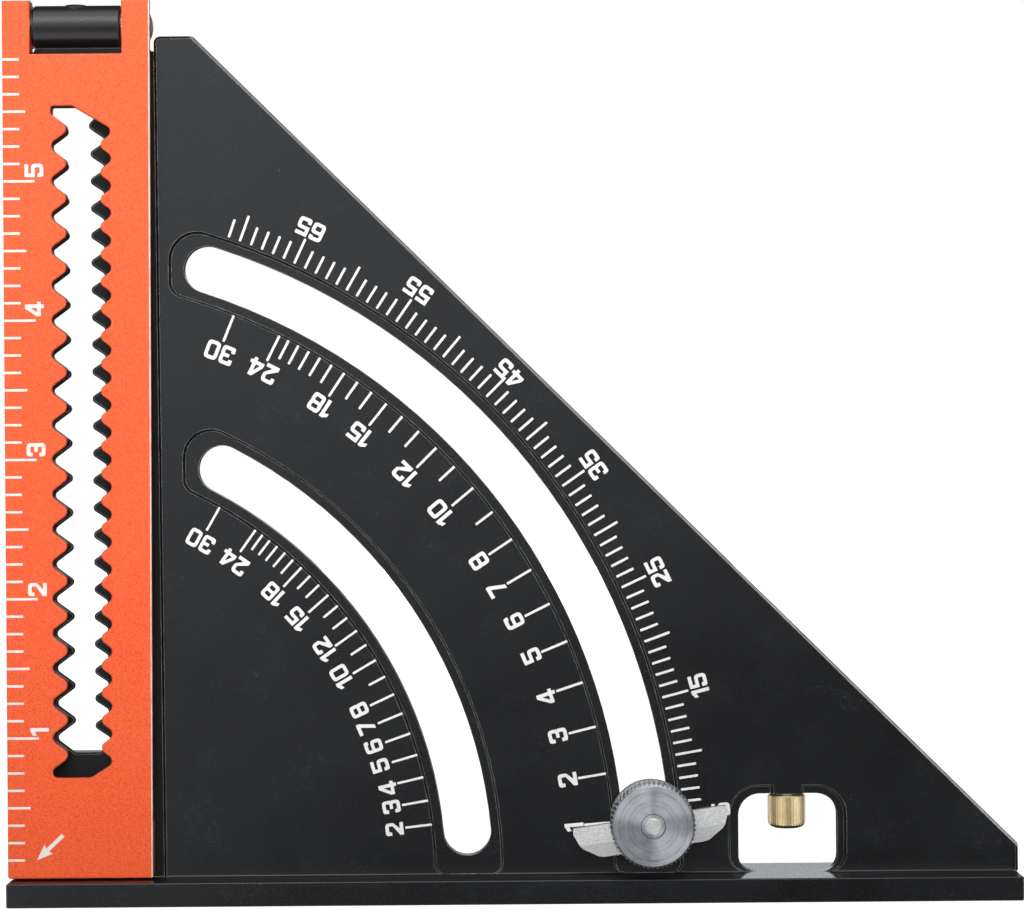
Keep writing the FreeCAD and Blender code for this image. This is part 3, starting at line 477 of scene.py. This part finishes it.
class Print:
    """Ink lying on one face of a part: flat closed shapes of the film's thickness."""

    def __init__(self, low, high, place):
        self.low, self.high, self.place = low, high, place
        self.verts, self.faces = [], []

    def shape(self, loops):
        loops = [[Vector((p[0], p[1])) for p in loop] for loop in loops]
        flat = [p for loop in loops for p in loop]
        tris = tessellate_polygon([[Vector((p.x, p.y, 0)) for p in loop] for loop in loops])
        base, n = len(self.verts), len(flat)
        self.verts += [self.place(p.x, p.y, self.high) for p in flat] + [self.place(p.x, p.y, self.low) for p in flat]
        for a, b, c in tris:
            pa, pb, pc = flat[a], flat[b], flat[c]
            if (pb - pa).cross(pc - pa) < 0:
                b, c = c, b
            self.faces.append((base + a, base + b, base + c))
            self.faces.append((base + n + a, base + n + c, base + n + b))
        start = 0
        for loop in loops:
            m = len(loop)
            area = sum(loop[i].cross(loop[(i + 1) % m]) for i in range(m))
            outer = start == 0
            forward = (area > 0) == outer
            for i in range(m):
                p, q = base + start + i, base + start + (i + 1) % m
                self.faces.append((p + n, q + n, q, p) if forward else (q + n, p + n, p, q))
            start += m

    def band(self, stations, y0, y1):
        """A strip of film that bends with the face through the given stations, from left to right."""
        base = len(self.verts)
        for x in stations:
            self.verts += [self.place(x, y, n) for n in (self.high, self.low) for y in (y0, y1)]
        for i in range(len(stations) - 1):
            a, b = base + 4 * i, base + 4 * (i + 1)
            self.faces += [(a, b, b + 1, a + 1), (a + 2, a + 3, b + 3, b + 2), (a + 2, b + 2, b, a), (a + 1, b + 1, b + 3, a + 3)]
        end = base + 4 * (len(stations) - 1)
        self.faces += [(base, base + 1, base + 3, base + 2), (end, end + 2, end + 3, end + 1)]

    def bar(self, x0, y0, x1, y1, width, r=0.14):
        """A printed line from one point to another, with softened ends."""
        a, b = Vector((x0, y0)), Vector((x1, y1))
        d = (b - a).normalized() * 1.0
        s = Vector((-d.y, d.x)) * (width / 2)
        c = [a - s, b - s, b + s, a + s]
        self.shape([rounded([(p.x, p.y, r) for p in c], 3)])

    def text(self, text, cx, cy, height, angle, gap=0.12, along=0.0, up=0.0):
        """Digits centred on a point, their foot line turned by an angle, moved along it and up from it."""
        widths = [GLYPHS[ch][0] for ch in text]
        x = -(sum(widths) + gap * (len(text) - 1)) / 2
        ca, sa = math.cos(math.radians(angle)), math.sin(math.radians(angle))
        for ch, w in zip(text, widths):
            loops = []
            for loop in GLYPHS[ch][1]:
                pts = [((p.x + x) * height * SLIM + along, (p.y - 0.5) * height + up) for p in rounded(loop)]
                loops.append([(cx + ca * px - sa * py, cy + sa * px + ca * py) for px, py in pts])
            self.shape(loops)
            x += w + gap

    def done(self, name, material, body):
        mesh = bpy.data.meshes.new(name)
        mesh.from_pydata([tuple(v) for v in self.verts], [], self.faces)
        mesh.validate()
        mesh.update()
        obj = bpy.data.objects.new(name, mesh)
        scene.collection.objects.link(obj)
        mesh.materials.append(material)
        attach(obj, body)
        return obj


def ray(r, deg):
    return r * math.cos(math.radians(deg)), r * math.sin(math.radians(deg))


FILM = 0.022                       # thickness of the ink, mm
FACE = 2.5                         # front face of the triangle
# The ring scales are printed turned a little, in degrees, and their numbers are placed one by one:
# for each number the shift along its foot line and up from it, in mm.
TURN, COMMON_TURN, HIP_TURN = -0.15, -0.185, -0.26
DEGREE_SET = {5: (.04, .03), 15: (.38, -.09), 25: (-.22, -.24), 35: (-.12, 0), 45: (-.03, 1.0), 55: (-.08, -.06), 65: (-.1, 0)}
COMMON_SET = {1: (-.24, -.49), 2: (.04, -.40), 3: (.11, -.33), 4: (-.45, -.33), 5: (.08, -.38), 6: (.06, -.25), 7: (.10, -.28),
              8: (.04, -.24), 10: (.39, .01), 12: (.57, -.02), 15: (.29, -.05), 18: (.36, -.18), 24: (-.03, -.40), 30: (-.11, -.25)}
HIP_SET = {2: (-.03, -.36), 3: (.04, -.40), 4: (-.51, -.44), 5: (.05, -.13), 6: (.02, -.11), 7: (.10, -.10), 8: (.11, -.23),
           10: (.59, -.25), 12: (.57, -.46), 15: (.43, -.13), 18: (.36, -.18), 24: (-.11, -.18), 30: (.02, -.15)}

ring = Print(FACE - 0.01, FACE + FILM, at)
for deg in range(6, 72):
    r1 = 128.45 if deg % 5 == 0 else 127.0
    ring.bar(*ray(123.5, deg + TURN), *ray(r1, deg + TURN), 0.45)
for deg, (along, up) in DEGREE_SET.items():
    ring.text(str(deg), *ray(130.45, deg + TURN), 3.38, deg + TURN + 90, along=along, up=up)
ring.done("degree_scale_print", white_ink, "square")

common = Print(FACE - 0.01, FACE + FILM, at)
for rise in list(range(1, 25)) + [30]:
    deg = math.degrees(math.atan(rise / 12.0)) + COMMON_TURN
    long = rise in COMMON_SET
    common.bar(*ray(105.2 if long else 106.5, deg), *ray(110.38, deg), 0.45)
    if long:
        along, up = COMMON_SET[rise]
        common.text(str(rise), *ray(102.85, deg), 3.50, deg + 90, along=along, up=up)
common.done("common_rafter_print", white_ink, "square")

hip = Print(FACE - 0.01, FACE + FILM, at)
for rise in list(range(2, 25)) + [30]:
    deg = math.degrees(math.atan(rise / 17.0)) + HIP_TURN
    long = rise in HIP_SET
    hip.bar(*ray(72.5 if long else 74.0, deg), *ray(77.42, deg), 0.42)
    if long:
        along, up = HIP_SET[rise]
        hip.text(str(rise), *ray(70.15, deg), 3.30, deg + 90, along=along, up=up)
hip.done("hip_rafter_print", white_ink, "square")

INCH = 25.4
ARM_FACE, ARM_REAR, LEG_FACE = 5.5, 2.1, 1.9
ZERO = -0.06                       # where the inch scale of the arm starts
PIVOT_V = 155.575                  # the hinge axis: the arm folds over it


def tick_length(k):
    return 5.5 if k % 8 == 0 else 3.9 if k % 4 == 0 else 2.8


front = Print(ARM_FACE - 0.01, ARM_FACE + FILM, at)
for k in range(1, 48):
    v = ZERO + k * INCH / 8
    front.bar(0.0, v, tick_length(k), v, 0.43, 0.06)
ARM_SET = {1: (-.18, -.10), 2: (-.17, -.30), 3: (-.08, -.35), 4: (.08, -.45), 5: (.05, -.34)}
for k, (dv, du) in ARM_SET.items():
    w = GLYPHS[str(k)][0] * 3.55
    front.text(str(k), 5.75 + du, k * INCH + 0.55 + w / 2 + dv, 3.42, 90)
front.done("arm_scale_print", arm_ink, "arm")


# The ticks run on over the rounded left edge of the arm.
def round_edge(s, v, n):
    """s is the distance along the rounded edge, from where the flat face ends."""
    side = -0.36 + 0.0005 * v
    a = math.radians(min(90.0, max(0.0, -s / 0.35 * 57.2958)))
    r = 0.35 + n
    return at(side + 0.35 - r * math.sin(a), v, ARM_FACE - 0.35 + r * math.cos(a))


wrap = Print(-0.01, FILM, round_edge)
for k in range(1, 48):
    v = ZERO + k * INCH / 8
    wrap.band([-0.40, -0.30, -0.20, -0.10, 0.0], v - 0.215, v + 0.215)
wrap.done("arm_scale_edge_print", arm_ink, "arm")


# Folded out, the back of the arm and the bared leg carry one inch scale that
# runs on from the hinge: on the leg up to it, on the back of the arm past it.
leg_scale = Print(LEG_FACE - 0.01, LEG_FACE + FILM, at)
for k in range(1, 48):
    v = ZERO + k * INCH / 8
    leg_scale.bar(0.75, v, 0.6 + tick_length(k), v, 0.46, 0.06)
for k in range(1, 6):
    w = GLYPHS[str(k)][0] * 3.55
    leg_scale.text(str(k), 5.35, k * INCH + 0.5 + w / 2, 3.2, 90)
leg_scale.done("leg_scale_print", white_ink, "square")


def behind(u, v, n):
    """A point on the back of the arm, by where it lies once the arm is folded out."""
    return at(u, 2 * PIVOT_V - v, ARM_REAR - n)


rear = Print(-0.01, FILM, behind)
for k in range(51, 97):
    v = ZERO + k * INCH / 8
    rear.bar(0.35, v, 0.2 + tick_length(k), v, 0.46, 0.06)
for k in range(7, 12):
    w = (sum(GLYPHS[ch][0] + 0.12 for ch in str(k)) - 0.12) * 3.2
    rear.text(str(k), 5.35, k * INCH + 0.6 + w / 2, 3.2, 90)
rear.done("arm_rear_scale_print", arm_ink, "arm")


def arrow_points():
    d = (tail - tip).normalized()
    s = Vector((-d.y, d.x))
    neck = tip + d * 3.0
    return [tip, neck + s * 1.15, neck - d * 0.35 + s * 0.36, tail + s * 0.36, tail - s * 0.36, neck - d * 0.35 - s * 0.36, neck - s * 1.15]


arrow = Print(ARM_FACE - 0.01, ARM_FACE + FILM, at)
tip, tail = Vector((5.00, 3.13)), Vector((9.77, 7.66))
arrow.shape([rounded([(p.x, p.y, 0.08) for p in arrow_points()], 3)])
arrow.done("pivot_arrow_print", arm_ink, "arm")

# ------------------------------------------------------------------ stage, lights, camera
bpy.ops.mesh.primitive_circle_add(vertices=96, radius=4.0, fill_type="NGON", location=(0, 0, 0))
floor = bpy.context.object
floor.name = "floor"
f = Shade("floor_white")
paper = f.noise(55.0, 4.0, 0.6)
f_path = f.node("ShaderNodeLightPath")
f_dark = f.node("ShaderNodeBsdfDiffuse")
f_dark.inputs["Color"].default_value = (0.25, 0.25, 0.25, 1.0)
f_mix = f.node("ShaderNodeMixShader")
f.set(Base_Color=f.ramp(paper, [(0.3, 0.30), (0.7, 0.33)]), Roughness=0.9, Emission_Color=(1.0, 1.0, 1.0), Emission_Strength=1.0)
f.link(f_path.outputs["Is Camera Ray"], f_mix.inputs["Fac"])
f.link(f_dark.outputs[0], f_mix.inputs[1])
f.link(f.bsdf.outputs[0], f_mix.inputs[2])
f.link(f_mix.outputs[0], f.out.inputs["Surface"])
floor.data.materials.append(f.mat)
floor.visible_glossy = False

STRIP = 1.1
world = bpy.data.worlds.new("studio")
scene.world = world
world.use_nodes = True
wt = world.node_tree
wt.nodes.clear()


def wnode(kind):
    return wt.nodes.new(kind)


w_out = wnode("ShaderNodeOutputWorld")
w_mix = wnode("ShaderNodeMixShader")
w_seen, w_light = wnode("ShaderNodeBackground"), wnode("ShaderNodeBackground")
w_path = wnode("ShaderNodeLightPath")
w_seen.inputs["Color"].default_value = (1, 1, 1, 1)
w_seen.inputs["Strength"].default_value = 1.0
wt.links.new(w_path.outputs["Is Camera Ray"], w_mix.inputs["Fac"])
wt.links.new(w_light.outputs[0], w_mix.inputs[1])
wt.links.new(w_seen.outputs[0], w_mix.inputs[2])
wt.links.new(w_mix.outputs[0], w_out.inputs["Surface"])
w_co = wnode("ShaderNodeTexCoord")
w_dot = wnode("ShaderNodeVectorMath")
w_dot.operation = "DOT_PRODUCT"
dark_way = Vector((0.14, -1.0, -0.36)).normalized()
w_dot.inputs[1].default_value = dark_way
wt.links.new(w_co.outputs["Generated"], w_dot.inputs[0])
def wrange(source, a, b, c, d):
    n = wnode("ShaderNodeMapRange")
    n.interpolation_type = "SMOOTHSTEP"
    for key, x in (("From Min", a), ("From Max", b), ("To Min", c), ("To Max", d)):
        n.inputs[key].default_value = x
    wt.links.new(source, n.inputs["Value"])
    return n.outputs["Result"]


w_axis = wnode("ShaderNodeSeparateXYZ")
wt.links.new(w_co.outputs["Generated"], w_axis.inputs[0])
w_mult = wnode("ShaderNodeMath")
w_mult.operation = "MULTIPLY"
wt.links.new(wrange(w_dot.outputs["Value"], 0.982, 0.850, 0.0, 1.46), w_mult.inputs[0])
# dark toward the horizon and behind, as between black flags
wt.links.new(wrange(w_axis.outputs[1], 0.05, -0.45, 0.06, 1.0), w_mult.inputs[1])
w_light.inputs["Color"].default_value = (0.935, 0.965, 1.02, 1)
# and a bright strip low behind, which the top of the fence mirrors through the window
w_strip = wnode("ShaderNodeMath")
w_strip.operation = "MULTIPLY"
wt.links.new(wrange(w_axis.outputs[1], 0.90, 0.96, 0.0, 1.0), w_strip.inputs[0])
wt.links.new(wrange(w_axis.outputs[2], 0.115, 0.145, 0.0, STRIP), w_strip.inputs[1])
w_add = wnode("ShaderNodeMath")
wt.links.new(w_mult.outputs[0], w_add.inputs[0])
wt.links.new(w_strip.outputs[0], w_add.inputs[1])
wt.links.new(w_add.outputs[0], w_light.inputs["Strength"])
world.cycles_visibility.diffuse = False


def softbox(name, place, aim, size, power, colour=(1, 1, 1), gloss=True, diffuse=True):
    data = bpy.data.lights.new(name, "AREA")
    data.shape = "RECTANGLE"
    data.size, data.size_y = size
    data.energy = power
    data.color = colour
    obj = bpy.data.objects.new(name, data)
    scene.collection.objects.link(obj)
    obj.location = place
    obj.rotation_euler = (Vector(aim) - Vector(place)).to_track_quat("-Z", "Y").to_euler()
    obj.visible_camera = False
    obj.visible_glossy = gloss
    obj.visible_diffuse = diffuse
    return obj


spot = bpy.data.lights.new("front_spot", "SPOT")
spot.energy, spot.color, spot.shadow_soft_size = 86.0, (1.0, 0.985, 0.96), 0.12
spot.spot_size, spot.spot_blend = math.radians(25.0), 1.0
spot_obj = bpy.data.objects.new("front_spot", spot)
scene.collection.objects.link(spot_obj)
spot_obj.location = (-0.02, -1.40, 0.14)
spot_obj.rotation_euler = (Vector((-0.05, 0.0, 0.21)) - spot_obj.location).to_track_quat("-Z", "Y").to_euler()
spot_obj.visible_glossy = False
softbox("front_fill", (0.0, -1.40, 0.20), (0.0, 0.0, 0.08), (0.45, 0.45), 2.5, (1.0, 0.985, 0.96), gloss=False)
softbox("key_softbox", (-0.22, -0.60, 0.60), (-0.02, 0.0, 0.10), (0.50, 0.36), 1.8, (1.0, 0.975, 0.93))
softbox("top_softbox", (0.10, -0.15, 0.95), (0.0, 0.0, 0.08), (0.9, 0.6), 1.6, diffuse=False)
softbox("right_strip", (0.75, -0.35, 0.45), (0.0, 0.0, 0.09), (0.25, 0.6), 0.5, diffuse=False)
softbox("back_fill", (0.0, 1.50, 0.22), (0.0, 0.0, 0.08), (0.35, 0.35), 9.0, gloss=False)

cam_data = bpy.data.cameras.new("camera")
cam_data.lens = 95.84
cam_data.sensor_width = 36.0
cam_data.shift_x, cam_data.shift_y = -0.5 / 1024, 0.5 / 1024
cam_data.clip_start, cam_data.clip_end = 0.01, 50.0
camera = bpy.data.objects.new("camera", cam_data)
scene.collection.objects.link(camera)
camera.location = at(92.25, 76.25, 502.5)
camera.rotation_euler = (math.radians(90.0), math.radians(0.45), 0.0)
scene.camera = camera

scene.view_settings.view_transform = "Standard"
scene.view_settings.look = "None"
scene.view_settings.exposure = 0.0
